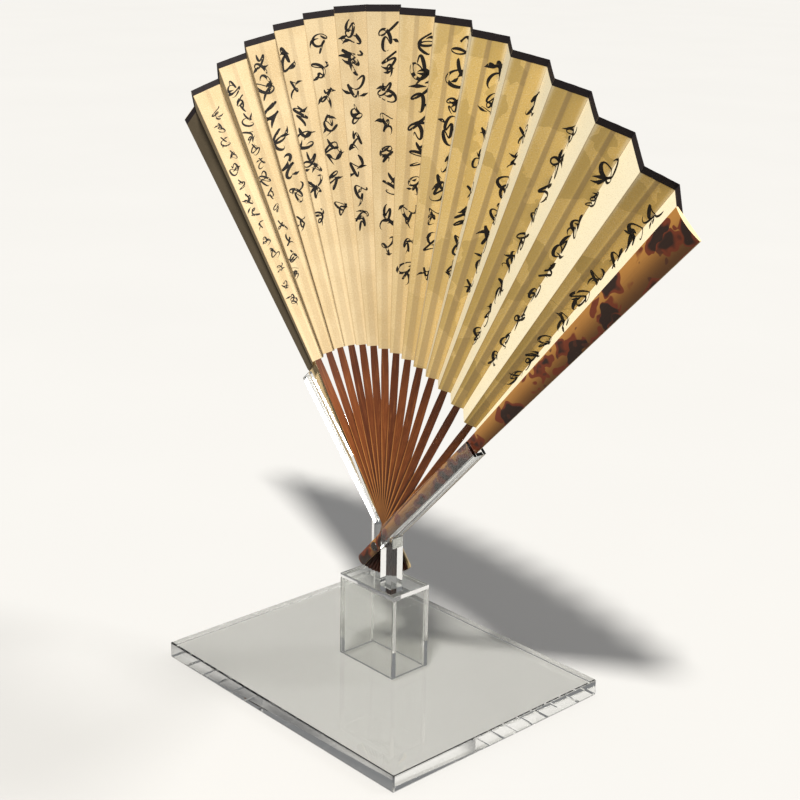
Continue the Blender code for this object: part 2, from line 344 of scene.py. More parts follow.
def smooth(mesh, angle):
    mesh.shade_smooth()
    mesh.set_sharp_from_angle(angle=angle)


def set_places(mesh, name, values):
    """Stores a vector per vertex, which the materials read by name."""
    attribute = mesh.attributes.new(name, "FLOAT_VECTOR", "POINT")
    attribute.data.foreach_set("vector", np.asarray(values, np.float32).ravel())


def slab_faces(columns, rows):
    """Faces of a closed slab: the front grid's points come first, then the back's."""
    across, count = columns + 1, (columns + 1) * (rows + 1)
    faces = []
    for j in range(rows):
        for i in range(columns):
            a = j * across + i
            faces.append((a, a + 1, a + across + 1, a + across))
            faces.append((count + a, count + a + across, count + a + across + 1, count + a + 1))
    rim = list(range(columns))
    rim += [j * across + columns for j in range(rows)]
    rim += [rows * across + i for i in range(columns, 0, -1)]
    rim += [j * across for j in range(rows, 0, -1)]
    for a, b in zip(rim, rim[1:] + rim[:1]):
        faces.append((b, a, count + a, count + b))
    return faces


def wave(turn, reach):
    """The paper's slight unevenness at a place of the unrolled leaf, from -1 to 1."""
    return (np.sin(turn * 23 + reach * 61) * np.sin(reach * 97 - turn * 11)
            + np.sin(turn * 41 - reach * 35 + 1.3)) / 2


def rib_offset(pleat, u, v):
    """Distance outside the rib's edge; far outside where there is no rib."""
    if not pleat.ribbed:
        return np.full(np.shape(u), NO_RIB)
    half = RIB_HALF_AT_LEAF + (RIB_HALF_AT_TIP - RIB_HALF_AT_LEAF) * v
    return np.abs(u - 0.5) * pleat.width(v) - half


def surface(pleat, u, v, side, proud=0.0, flat=False):
    """Points of the paper's front (side 1) or back (side -1), lifted by proud."""
    u, v = np.asarray(u, float), np.asarray(v, float)
    ridge = np.clip(1 - rib_offset(pleat, u, v) / RIDGE_SHOULDER, 0, 1)
    ridge = RIDGE_HEIGHT * ridge * ridge * (3 - 2 * ridge)
    arch = 4 * u * (1 - u)
    bulge = (PANEL_BULGE if pleat.ribbed else PLEAT_BULGE) * (0.3 + 0.7 * v)
    bow = arch * (bulge + WAVE_HEIGHT * wave(pleat.turn + u * pleat.sweep, reach_at(v)))
    if pleat.ribbed:
        bow = bow * np.clip(rib_offset(pleat, u, v) / (2 * MM), 0, 1)
    if flat:
        bow = bow * 0
    lift = bow + side * (PAPER_HALF + ridge + proud)
    return pleat.point(u, v) + lift[..., None] * pleat.normal()


def leaf_places(pleat, u, v):
    """The two places the materials read: on the unrolled leaf, and within the pleat."""
    turn, reach = pleat.turn + u * pleat.sweep - LEAF_SWEEP / 2, reach_at(v)
    flat = np.stack([reach * np.sin(turn), reach * np.cos(turn), np.zeros_like(turn)], -1)
    to_fold = np.minimum(u, 1 - u) * pleat.width(v)
    inside = np.stack([to_fold, rib_offset(pleat, u, v), LEAF_OUT - reach], -1)
    return flat.reshape(-1, 3), inside.reshape(-1, 3)


def slab(name, pleat, v_span, rows, proud=0.0, flat=False):
    """A closed sheet over the whole width of a pleat."""
    v, u = np.meshgrid(np.linspace(*v_span, rows + 1), np.linspace(0, 1, PLEAT_COLUMNS + 1),
                       indexing="ij")
    sides = [surface(pleat, u, v, side, proud, flat).reshape(-1, 3) for side in (1, -1)]
    mesh = mesh_of(name, np.concatenate(sides), slab_faces(PLEAT_COLUMNS, rows))
    for place, values in zip(("flat", "inside"), leaf_places(pleat, u, v)):
        set_places(mesh, place, np.concatenate([values, values]))
    return mesh


def follow(piece, pleat):
    """The piece moves with its rib; a connecting pleat's piece only has its transform baked, and its
    two folds' angles are read but not used.
    """
    if pleat.ribbed:
        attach(piece, pleat.bodies[0])
        return
    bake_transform(piece)
    low, high = pleat.fold_angles()


# Brush marks: loose squiggles and flicks in columns, no writing of any kind


def ribbon(path, width):
    """The two edges of a flat ribbon along a path."""
    along = np.gradient(path, axis=0)
    along /= np.maximum(np.linalg.norm(along, axis=1), 1e-9)[:, None]
    across = np.stack([-along[:, 1], along[:, 0]], 1)
    return path - across * width[:, None] / 2, path + across * width[:, None] / 2


def brush_squiggle(rng, size):
    """A looping wave that runs down the column, broad where it goes down and fine where it returns."""
    t = np.linspace(0, 1, STROKE_POINTS)
    sways, loops = rng.uniform(1.3, 2.6), rng.uniform(1.8, 3.4)
    phase, turn = rng.uniform(0, 2 * math.pi, 2)
    reach = rng.uniform(0.30, 0.46) * size * (0.65 + 0.35 * np.sin(t * 5 + phase))
    x = reach * np.sin(2 * math.pi * sways * t + phase)
    y = size * (0.42 - 0.84 * t) + 0.20 * size * np.sin(2 * math.pi * loops * t + turn)
    path = np.stack([x, y], 1)
    slope = np.gradient(path, axis=0) @ np.array((0.5, -0.85))
    press = np.clip(slope / (np.abs(slope).max() + 1e-9), -0.55, 1)
    taper = np.minimum(1, t * 12 + 0.35) * np.minimum(1, (1 - t) * 7 + 0.1)
    return ribbon(path, size * (0.085 + 0.065 * press) * taper)


def brush_flick(rng, size):
    """A short bowed dash beside the squiggle."""
    t = np.linspace(-0.5, 0.5, FLICK_POINTS)
    heading, bow = rng.uniform(-0.5, 1.1), rng.uniform(-0.25, 0.25)
    length = rng.uniform(0.3, 0.65) * size
    along, across = length * t, length * bow * (1 - 4 * t * t)
    centre = rng.uniform(-0.38, 0.38, 2) * size
    path = centre + np.stack([along * math.cos(heading) - across * math.sin(heading),
                              along * math.sin(heading) + across * math.cos(heading)], 1)
    return ribbon(path, size * 0.15 * np.clip(1.05 - np.abs(t) * 1.9, 0.1, 1))


def brush_mark(rng, size):
    """One mark: a squiggle and one or two flicks."""
    flicks = int(rng.integers(1, 3))
    return [brush_squiggle(rng, size)] + [brush_flick(rng, size) for _ in range(flicks)]


def leaf_strokes():
    """Every stroke on the unrolled leaf, as pairs of (turn, reach) points."""
    rng = np.random.default_rng(MARK_SEED)
    strokes = []
    for column in range(MARK_COLUMNS):
        place = (column + 0.75) / (MARK_COLUMNS + 0.3)
        size = SMALL_MARK_SIZE if column < SMALL_MARK_COLUMNS else MARK_SIZE
        reach = LEAF_OUT - rng.uniform(*TOP_MARGIN)
        lowest = LEAF_IN + rng.uniform(*FOOT_MARGIN)
        while reach > lowest:
            turn = place * LEAF_SWEEP + rng.normal(0, 0.9 * MM) / reach
            scale = size * rng.uniform(0.75, 1.15) * (0.55 + 0.45 * reach / LEAF_OUT)
            for low, high in brush_mark(rng, scale):
                strokes.append([np.stack([turn + edge[:, 0] / reach, reach + edge[:, 1]], 1)
                                for edge in (low, high)])
            reach -= MARK_PITCH * size / MARK_SIZE * rng.uniform(0.9, 1.15)
    return strokes


def stroke_sheet(strokes):
    """All strokes as one flat mesh in (turn, reach)."""
    sheet = bmesh.new()
    for low, high in strokes:
        pairs = [(sheet.verts.new((*a, 0)), sheet.verts.new((*b, 0))) for a, b in zip(low, high)]
        for (a, b), (c, d) in zip(pairs, pairs[1:]):
            sheet.faces.new((a, c, d, b))
    return sheet


def ink_mesh(name, pleat, sheet):
    """The strokes' part that falls on one pleat, laid on its front."""
    piece = sheet.copy()
    for turn, keep in ((pleat.turn, 1), (pleat.turn + pleat.sweep, -1)):
        bmesh.ops.bisect_plane(piece, geom=piece.verts[:] + piece.edges[:] + piece.faces[:],
                               plane_co=(turn, 0, 0), plane_no=(-keep, 0, 0), clear_outer=True)
    if not piece.faces:
        piece.free()
        return None
    places = np.array([vertex.co for vertex in piece.verts])
    piece.verts.index_update()
    faces = [tuple(vertex.index for vertex in face.verts) for face in piece.faces]
    piece.free()
    u = np.clip((places[:, 0] - pleat.turn) / pleat.sweep, 0, 1)
    v = (places[:, 1] - LEAF_IN) / LEAF_HEIGHT
    mesh = mesh_of(name, surface(pleat, u, v, 1, INK_LIFT), faces)
    set_places(mesh, "flat", leaf_places(pleat, u, v)[0])
    return mesh


# Materials


class Shader:
    """A material with one Principled shader, and short ways to add nodes to it."""

    def __init__(self, name, **values):
        self.material = bpy.data.materials.new(name)
        self.material.use_nodes = True
        self.tree = self.material.node_tree
        self.main = self.tree.nodes["Principled BSDF"]
        self.out = self.tree.nodes["Material Output"]
        for key, value in values.items():
            self.main.inputs[key.replace("_", " ")].default_value = value

    def add(self, kind, values=None, **settings):
        """A node of that kind, with values for its inputs and settings of its own."""
        node = self.tree.nodes.new("ShaderNode" + kind)
        for key, value in settings.items():
            setattr(node, key, value)
        for key, value in (values or {}).items():
            self.put(node.inputs[key], value)
        return node

    def put(self, socket, value):
        if isinstance(value, bpy.types.NodeSocket):
            self.tree.links.new(value, socket)
        else:
            socket.default_value = value

    def place(self, name):
        """The vector that set_places stored under that name."""
        return self.add("Attribute", attribute_name=name).outputs["Vector"]

    def object_place(self):
        return self.add("TexCoord").outputs["Object"]

    def axes(self, vector):
        return self.add("SeparateXYZ", {0: vector}).outputs

    def joined(self, x, y, z):
        return self.add("CombineXYZ", {0: x, 1: y, 2: z}).outputs[0]

    def math(self, operation, *values):
        return self.add("Math", dict(enumerate(values)), operation=operation).outputs[0]

    def scaled(self, vector, scale):
        return self.add("VectorMath", {0: vector, 1: scale}, operation="MULTIPLY").outputs[0]

    def noise(self, vector, scale, detail=3.0, roughness=0.55, distortion=0.0):
        node = self.add("TexNoise", {"Vector": vector, "Scale": scale, "Detail": detail,
                                     "Roughness": roughness, "Distortion": distortion})
        return node.outputs["Fac"]

    def step(self, value, low, high):
        """0 below low and 1 above high, smooth between."""
        node = self.add("MapRange", {"Value": value, "From Min": low, "From Max": high},
                        interpolation_type="SMOOTHSTEP")
        return node.outputs["Result"]

    def mix(self, share, low, high):
        """The colour low where share is 0, and high where it is 1."""
        return self.add("Mix", {0: share, 6: low, 7: high}, data_type="RGBA").outputs[2]

    def tinted(self, colour, tint, share, most=1.0):
        """The colour mixed towards tint by share, a value from 0 to 1, times most."""
        return self.mix(self.math("MULTIPLY", share, most), colour, tint)

    def bump(self, height, distance, strength=1.0, under=None):
        values = {"Height": height, "Distance": distance, "Strength": strength}
        if under is not None:
            values["Normal"] = under
        return self.add("Bump", values).outputs["Normal"]

    def use(self, **sockets):
        for key, value in sockets.items():
            self.put(self.main.inputs[key.replace("_", " ")], value)
        return self.material


def rgb(red, green, blue):
    return (red, green, blue, 1.0)


def paper_flecks(made, flat, colour):
    """Pale and dark fibres scattered through the pulp."""
    fleck = made.noise(flat, 1500, 3, 0.7)
    colour = made.tinted(colour, rgb(0.78, 0.65, 0.42), made.step(fleck, 0.50, 0.68), 0.6)
    return made.tinted(colour, rgb(0.44, 0.31, 0.15), made.step(fleck, 0.46, 0.32), 0.6)


def olive_patches(made, flat, colour, share):
    """Olive leaf-like patches, as strong as share."""
    wander = made.math("MULTIPLY", made.noise(flat, 90, 2), 0.018)
    bent = made.add("VectorMath", {0: flat, 1: made.joined(wander, 0.0, 0.0)}, operation="ADD")
    cells = made.add("TexVoronoi", {"Vector": made.scaled(bent.outputs[0], (1.0, 0.6, 1.0)),
                                    "Scale": 78.0, "Randomness": 1.0}, feature="F1")
    patch = made.step(made.axes(cells.outputs["Color"])[0], 0.50, 0.60)
    return made.tinted(colour, rgb(0.41, 0.285, 0.085), made.math("MULTIPLY", patch, share), 0.5)


def ribs_and_folds(made, inside, colour, side):
    """Painted shade: the ribs' shadows through the paper as darker strips, deeper on the right half,
    and a brown line along each fold.
    """
    # painted shade: the ribs' shadows in the paper, deeper on the right half
    seen = made.math("MULTIPLY_ADD", side, 0.36, 0.22)
    colour = made.tinted(colour, rgb(0.26, 0.18, 0.10),
                         made.math("MULTIPLY", made.step(inside[1], 0.5 * MM, -0.3 * MM), seen))
    # painted shade: a brown line along each fold
    fold_shade = made.step(inside[0], 0.5 * MM, 0.05 * MM)
    return made.tinted(colour, rgb(0.36, 0.23, 0.10), fold_shade, 0.5)


def paper_material():
    """Gold-tan two-layer paper, painted a deeper gold towards the front guard, as painted light
    shining through it.

    There the pleats between the ribs are painted palest, as painted light, and the ribs' own pleats
    the deepest.
    """
    made = Shader("flecked_paper", Roughness=0.7, Specular_IOR_Level=0.25)
    flat = made.place("flat")
    inside = made.axes(made.place("inside"))
    side = made.step(made.axes(flat)[0], -0.04, 0.10)
    between_ribs = made.step(inside[1], *OFF_RIB)
    cloud = made.noise(flat, 24, 4)
    colour = made.mix(made.step(cloud, 0.35, 0.65), rgb(0.57, 0.43, 0.235), rgb(0.67, 0.53, 0.32))
    # painted light: the right half is painted a deeper gold, standing in for light shining through the
    # paper
    colour = made.tinted(colour, rgb(0.74, 0.50, 0.13), side, 0.8)
    # painted light: on the right half the paper away from the ribs is painted paler
    colour = made.tinted(colour, rgb(0.90, 0.84, 0.64), made.math("MULTIPLY", side, between_ribs), 0.85)
    colour = paper_flecks(made, flat, colour)
    # painted light: the olive patches are confined to the right half's rib pleats, where light through
    # the paper would show them
    painted_backlight_share = made.math("MULTIPLY", side, made.math("SUBTRACT", 1.0, between_ribs))
    colour = olive_patches(made, flat, colour, painted_backlight_share)
    colour = ribs_and_folds(made, inside, colour, side)
    fibre = made.noise(made.scaled(flat, (1.0, 0.25, 1.0)), 700, 4, 0.6, 0.6)
    normal = made.bump(made.noise(flat, 60, 3), 0.5 * MM, 0.2)
    normal = made.bump(fibre, 0.08 * MM, 0.3, normal)
    rough = made.math("MULTIPLY_ADD", cloud, 0.15, 0.6)
    return made.use(Base_Color=colour, Roughness=rough, Normal=normal)


def end_paper_material():
    """The strip pasted on the rear guard: the same paper, painted dark as painted shade."""
    made = Shader("stained_paper", Roughness=0.8, Specular_IOR_Level=0.2)
    flat = made.place("flat")
    cloud = made.noise(flat, 40, 4)
    fleck = made.noise(flat, 1500, 3, 0.7)
    # painted shade: the strip's paper is a near-black brown
    colour = made.mix(cloud, rgb(0.060, 0.046, 0.028), rgb(0.125, 0.098, 0.062))
    colour = made.tinted(colour, rgb(0.20, 0.16, 0.10), made.step(fleck, 0.50, 0.70), 0.4)
    return made.use(Base_Color=colour, Normal=made.bump(fleck, 0.05 * MM, 0.3))


def edging_material():
    """The narrow black strip folded over the rim: thin woven silk."""
    made = Shader("black_edging", Roughness=0.75, Specular_IOR_Level=0.25)
    flat = made.place("flat")
    weave = made.noise(made.scaled(flat, (1.0, 0.3, 1.0)), 2600, 2)
    colour = made.mix(weave, rgb(0.006, 0.004, 0.005), rgb(0.022, 0.016, 0.018))
    return made.use(Base_Color=colour, Normal=made.bump(weave, 0.1 * MM, 0.6))


def ink_material():
    """Black ink, browner where the brush ran dry."""
    made = Shader("brush_ink", Roughness=0.6, Specular_IOR_Level=0.25)
    dry = made.noise(made.place("flat"), 1500, 4, 0.7)
    colour = made.mix(made.step(dry, 0.60, 0.72), rgb(0.010, 0.008, 0.007), rgb(0.11, 0.075, 0.045))
    return made.use(Base_Color=colour, Normal=made.bump(dry, 0.05 * MM, 0.4))


def rivet_place(made):
    """A point's place from the rivet: right, depth, up, and reach."""
    axes = made.axes(made.object_place())
    x = made.math("SUBTRACT", axes[0], float(PIVOT[0]))
    z = made.math("SUBTRACT", axes[2], float(PIVOT[2]))
    squares = made.math("ADD", made.math("MULTIPLY", x, x), made.math("MULTIPLY", z, z))
    return x, axes[1], z, made.math("SQRT", squares)


def off_line(made, x, z, line):
    """Distance to the right of the line through the rivet at that angle."""
    right = made.math("MULTIPLY", x, math.cos(line))
    return made.math("MULTIPLY_ADD", z, -math.sin(line), right)


def rib_wood(made, own, angle, depth, reach):
    """The bare red-brown wood's colour, and its fine grain along the rib."""
    shift = made.math("ADD", depth, own * GRAIN_SHIFT)
    grain = made.noise(made.joined(angle, shift, made.math("MULTIPLY", reach, 0.35)), 230, 3, 0.6)
    broad = made.noise(made.joined(angle, shift, made.math("MULTIPLY", reach, 0.5)), 30, 2)
    tone = made.step(made.math("MULTIPLY_ADD", broad, 0.6, own * 0.5), 0.15, 0.85)
    colour = made.mix(tone, rgb(0.080, 0.019, 0.006), rgb(0.185, 0.050, 0.012))
    colour = made.tinted(colour, rgb(0.40, 0.14, 0.036), made.step(grain, 0.52, 0.72), 0.45)
    colour = made.tinted(colour, rgb(0.055, 0.016, 0.006), made.step(grain, 0.46, 0.30), 0.55)
    return colour, grain


def rib_material(name, own, line, next_line):
    """Satin red-brown wood, grained along the rib, with a painted highlight along one edge, and
    painted shadows where the next stick lies over it and just below the leaf.

    own is the rib's own tone from 0 to 1, line its angle, and next_line the angle of the
    stick that overlaps it from the right.
    """
    made = Shader(name, Roughness=0.45, Specular_IOR_Level=0.3, Coat_Weight=0.12,
                  Coat_Roughness=0.25)
    x, depth, z, reach = rivet_place(made)
    colour, grain = rib_wood(made, own, made.math("ARCTAN2", x, z), depth, reach)
    # painted highlight: a lighter strip along the rib's left edge
    edge_highlight = made.step(off_line(made, x, z, line), -1.4 * MM, -2.1 * MM)
    colour = made.tinted(colour, rgb(0.56, 0.225, 0.058), edge_highlight, 0.8)
    # painted shadow: dark where the next stick to the right lies over this one
    overlap_shadow = made.step(off_line(made, x, z, next_line), -5.6 * MM, -3.2 * MM)
    colour = made.tinted(colour, rgb(0.024, 0.007, 0.003), overlap_shadow, 0.93)
    # painted shadow: darker towards the leaf, which shades the rib's top
    leaf_shadow = made.step(reach, LEAF_IN - 26 * MM, LEAF_IN + 2 * MM)
    colour = made.tinted(colour, rgb(0.050, 0.014, 0.005), leaf_shadow, 0.6)
    rough = made.math("MULTIPLY_ADD", grain, 0.22, 0.34)
    return made.use(Base_Color=colour, Roughness=rough, Normal=made.bump(grain, 0.04 * MM, 0.4))


def rib_edge_material():
    """The ribs' eased edges, painted lighter than the faces as a painted highlight."""
    made = Shader("rib_edge", Roughness=0.3, Coat_Weight=0.3, Coat_Roughness=0.15)
    edge_mottle = made.noise(made.object_place(), 260, 3)
    # painted highlight: the edges are coloured lighter than the wood
    colour = made.mix(edge_mottle, rgb(0.42, 0.15, 0.040), rgb(0.66, 0.30, 0.090))
    return made.use(Base_Color=colour, Roughness=made.math("MULTIPLY_ADD", edge_mottle, 0.2, 0.2))


def bamboo_spots(made, place):
    """How far a point is from the nearest stain's middle, less for the larger stains."""
    wander = made.add("TexNoise", {"Vector": place, "Scale": 190.0, "Detail": 0.0})
    bent = made.add("VectorMath", {0: wander.outputs["Color"], 1: (0.008, 0.008, 0.008), 2: place},
                    operation="MULTIPLY_ADD")
    spots = made.add("TexVoronoi", {"Vector": made.scaled(bent.outputs[0], (1.0, 0.2, 0.72)),
                                    "Scale": 92.0, "Randomness": 0.9}, feature="F1")
    size = made.axes(spots.outputs["Color"])[0]
    return made.math("MULTIPLY_ADD", size, -0.36, spots.outputs["Distance"])


def bamboo_material():
    """Polished bamboo skin: orange-tan with red-brown, near-black spots, and painted shade along one
    edge.
    """
    made = Shader("mottled_bamboo", Roughness=0.3, Specular_IOR_Level=0.4, Coat_Weight=0.3,
                  Coat_Roughness=0.18)
    place = made.place("grain")
    edge = made.step(made.axes(place)[0], -8 * MM, 8 * MM)
    spots = bamboo_spots(made, place)
    fleck = made.noise(made.scaled(place, (1.0, 1.0, 0.8)), 210, 1.0)
    fibre = made.noise(made.scaled(place, (1.0, 1.0, 0.02)), 1500, 3, 0.6)
    colour = made.mix(made.noise(place, 40, 2), rgb(0.38, 0.155, 0.026), rgb(0.56, 0.27, 0.060))
    # painted shade: the skin darkens towards one edge, where the convex face turns from the light, and
    # the red and black spots spread wider there
    colour = made.tinted(colour, rgb(0.060, 0.021, 0.006), edge, 0.88)
    red = made.step(made.math("MULTIPLY_ADD", edge, -0.06, spots), 0.33, 0.29)
    colour = made.mix(red, colour, rgb(0.15, 0.026, 0.007))
    black = made.step(made.math("MULTIPLY_ADD", edge, -0.10, spots), 0.20, 0.06)
    colour = made.mix(black, colour, rgb(0.012, 0.005, 0.003))
    colour = made.tinted(colour, rgb(0.06, 0.016, 0.007), made.step(fleck, 0.66, 0.70), 0.8)
    colour = made.tinted(colour, rgb(0.09, 0.03, 0.010), fibre, 0.25)
    rough = made.math("MULTIPLY_ADD", fibre, 0.15, 0.25)
    return made.use(Base_Color=colour, Roughness=rough, Normal=made.bump(fibre, 0.05 * MM, 0.4))


def bamboo_cut_material():
    """The guards' cut faces: pale bamboo with fine pores and fibres."""
    made = Shader("cut_bamboo", Roughness=0.55)
    place = made.place("grain")
    pores = made.noise(made.scaled(place, (1.0, 1.0, 0.05)), 2300, 3, 0.6)
    broad = made.noise(made.scaled(place, (1.0, 1.0, 0.1)), 160, 3)
    colour = made.mix(broad, rgb(0.70, 0.50, 0.25), rgb(0.84, 0.66, 0.38))
    colour = made.mix(made.step(pores, 0.55, 0.7), colour, rgb(0.42, 0.25, 0.10))
    return made.use(Base_Color=colour, Normal=made.bump(pores, 0.08 * MM, 0.5))


def rivet_material():
    """Polished black horn, clouded brown."""
    made = Shader("black_horn", Roughness=0.28, Coat_Weight=0.4, Coat_Roughness=0.1)
    cloud = made.noise(made.object_place(), 900, 3)
    colour = made.mix(cloud, rgb(0.010, 0.009, 0.008), rgb(0.05, 0.04, 0.034))
    return made.use(Base_Color=colour, Roughness=made.math("MULTIPLY_ADD", cloud, 0.2, 0.18))


def acrylic_material():
    """Clear acrylic; lamps shine through it, since glass would block them."""
    made = Shader("clear_acrylic", Roughness=0.015, IOR=1.49, Transmission_Weight=1.0,
                  Specular_IOR_Level=0.25)
    place = made.object_place()
    smear = made.noise(place, 28, 4, 0.6)
    tint = made.mix(smear, rgb(0.925, 0.93, 0.92), rgb(0.955, 0.96, 0.95))
    made.use(Base_Color=tint, Roughness=made.math("MULTIPLY", made.step(smear, 0.5, 0.85), 0.06))
    lamps = made.add("LightPath").outputs["Is Shadow Ray"]
    clear = made.add("BsdfTransparent", {"Color": rgb(0.86, 0.86, 0.85)})
    both = made.add("MixShader", {0: lamps, 1: made.main.outputs[0], 2: clear.outputs[0]})
    made.put(made.out.inputs["Surface"], both.outputs[0])
    return made.material


def acrylic_edge_material():
    """The acrylic's cut edges: polished, painted whiter than the faces as a painted highlight for the
    light they catch.
    """
    made = Shader("acrylic_edge", Roughness=0.22, IOR=1.49, Transmission_Weight=0.2)
    fine = made.noise(made.object_place(), 700, 2)
    # painted highlight: near-white edges
    colour = made.mix(fine, rgb(0.86, 0.84, 0.78), rgb(0.95, 0.93, 0.87))
    return made.use(Base_Color=colour, Roughness=made.math("MULTIPLY_ADD", fine, 0.15, 0.12))


def floor_material():
    """A pale floor; less of its light reaches the fan, as over a small sweep of card."""
    made = Shader("pale_floor", Roughness=0.75)
    cloud = made.noise(made.object_place(), 3, 3)
    pale = made.mix(cloud, rgb(0.44, 0.44, 0.44), rgb(0.46, 0.46, 0.46))
    path = made.add("LightPath").outputs
    through = made.math("SUBTRACT", 1.0, path["Is Transmission Ray"])
    mirrored = made.math("MULTIPLY", path["Is Glossy Ray"], through)
    bounce = made.math("MAXIMUM", path["Is Diffuse Ray"], mirrored)
    return made.use(Base_Color=made.mix(bounce, pale, rgb(0.14, 0.135, 0.13)))


# Pieces


def build_leaf(paper, edging, ink):
    """Each pleat's paper, its stretch of the black edging, and the marks that fall on it."""
    sheet = stroke_sheet(leaf_strokes())
    for pleat in PLEATS:
        body = link(f"paper_{pleat.name}", slab("paper", pleat, (0, 1), PLEAT_ROWS), paper)
        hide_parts(pleat.node)
        rim = slab("edging", pleat, EDGING_SPAN, EDGING_ROWS, EDGING_PROUD)
        pieces = [body, link(f"edging_{pleat.name}", rim, edging)]
        marks = ink_mesh("ink", pleat, sheet)
        if marks:
            pieces.append(link(f"ink_{pleat.name}", marks, ink))
        for piece in pieces:
            follow(piece, pleat)
    sheet.free()


def stick_stations(name):
    """A guard's sections by place along it: half width, inner face, edge and crown depths."""
    angle, _ = stick_line(name)
    points = turned(node_points(name), angle)
    points = points[np.abs(points[:, 2]) > PAST_BORE]
    side = 1 if points[:, 1].mean() > 0 else -1
    stations = []
    for along in np.unique(np.round(points[:, 2], 5)):
        ring = points[np.abs(points[:, 2] - along) < SAME_PLACE]
        half, depths = ring[:, 0].max(), ring[:, 1] * side
        at_edge = depths[np.abs(ring[:, 0]) > half - SAME_PLACE]
        stations.append((along, half, depths.min(), at_edge.max(), depths.max()))
    return angle, side, np.array(stations)


def guard_section(half, inner, edge, crown):
    """Half width and depth round a guard's section, with a smooth convex skin."""
    ease = GUARD_EASE
    ring = [(-half + ease, inner), (half - ease, inner), (half, inner + ease)]
    for step in range(GUARD_CROWN_STEPS + 1):
        place = math.cos(math.pi * step / GUARD_CROWN_STEPS)
        ring.append((half * place, edge + (crown - edge) * (1 - place * place)))
    ring.append((-half, inner + ease))
    return ring


def guard_blank(side, stations):
    """A guard without its bore, lofted through the frame's cross-sections."""
    steps = np.arange(stations[0, 0], stations[-1, 0], GUARD_STEP)
    blank = bmesh.new()
    rings = []
    for along in np.unique(np.concatenate([stations[:, 0], steps])):
        sizes = [np.interp(along, stations[:, 0], stations[:, column]) for column in range(1, 5)]
        rings.append([blank.verts.new((across, depth * side, along))
                      for across, depth in guard_section(*sizes)])
    for low, high in zip(rings, rings[1:]):
        for a, b, c, d in zip(low, low[1:] + low[:1], high[1:] + high[:1], high):
            blank.faces.new((a, b, c, d))
    for end in (rings[0], rings[-1]):
        blank.faces.new(end)
    bmesh.ops.recalc_face_normals(blank, faces=blank.faces)
    return mesh_from("blank", blank)


def bored(mesh):
    """The mesh with the rivet's hole through it."""
    drill = bmesh.new()
    bmesh.ops.create_cone(drill, cap_ends=True, segments=BORE_SEGMENTS, radius1=BORE_RADIUS,
                          radius2=BORE_RADIUS, depth=DRILL_LENGTH,
                          matrix=Matrix.Rotation(math.pi / 2, 4, "X"))
    cutter, blank = link("drill", mesh_from("drill", drill)), link("blank", mesh)
    cut = blank.modifiers.new("bore", "BOOLEAN")
    cut.operation = "DIFFERENCE"
    cut.solver = "EXACT"
    cut.object = cutter
    graph = bpy.context.evaluated_depsgraph_get()
    made = bpy.data.meshes.new_from_object(blank.evaluated_get(graph))
    for item in (cutter, blank):
        bpy.data.objects.remove(item, do_unlink=True)
    made.materials.clear()
    return made


def build_guard(name, skin, cut):
    """A guard with a smooth convex skin and pale cut faces."""
    angle, side, stations = stick_stations(name)
    mesh = bored(guard_blank(side, stations))
    places = np.array([vertex.co for vertex in mesh.vertices])
    set_places(mesh, "grain", places)
    for material in (skin, cut):
        mesh.materials.append(material)
    for face in mesh.polygons:
        face.material_index = 0 if face.normal.y * side > SKIN_FACING else 1
    smooth(mesh, SKIN_SMOOTH_ANGLE)
    for vertex, place in zip(mesh.vertices, places):
        vertex.co = fan_point(angle, *place)
    piece = link(f"bamboo_{name}", mesh)
    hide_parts(name)
    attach(piece, body_of(name))


def build_end_strip(name, pleat, line, paper, edging):
    """The leaf's end, pasted flat on a guard's inner face."""
    angle, _, stations = stick_stations(name)
    away = 1 if line is pleat.right else -1
    far = []
    for point in line:
        place = turned((point - PIVOT)[None], angle)[0]
        half = np.interp(place[2], stations[:, 0], stations[:, 1])
        far.append(fan_point(angle, away * (half - END_MARGIN), place[1], place[2]))
    lines = (line, tuple(far)) if away > 0 else (tuple(far), line)
    strip = Pleat("end_" + name, *lines, pleat.bodies, pleat.node, False,
                  pleat.turn + away * pleat.sweep, pleat.sweep)
    mesh = slab("paper", strip, (0, 1), PLEAT_ROWS, flat=True)
    edge = slab("edging", strip, EDGING_SPAN, EDGING_ROWS, EDGING_PROUD, flat=True)
    for piece in (link(f"paper_end_{name}", mesh, paper), link(f"edging_end_{name}", edge, edging)):
        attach(piece, body_of(name))


def build_guards(skin, cut, paper, edging):
    for name in ("guard_front", "guard_rear"):
        build_guard(name, skin, cut)
    build_end_strip("guard_front", PLEATS[-1], PLEATS[-1].right, paper, edging)
    # the rear strip's paper is painted dark, as painted shade
    build_end_strip("guard_rear", PLEATS[0], PLEATS[0].left, end_paper_material(), edging)


def rivet_outline():
    """Half the rivet's outline as (radius, depth): a dome, a groove, and a pin as wide as it."""
    points = node_points("rivet")
    radius, depth = np.hypot(points[:, 0], points[:, 2]), points[:, 1]
    top, head = depth.max(), radius.max()
    seat = depth[radius > head - HEAD_SIDE].max()
    outline = [(head * math.sin(t), seat + (top - seat) * math.cos(t))
               for t in np.linspace(0.0, math.pi / 2, DOME_STEPS + 1)]
    groove = seat - GROOVE_LENGTH
    return outline + [(head - GROOVE_DEPTH, groove), (head, groove)]


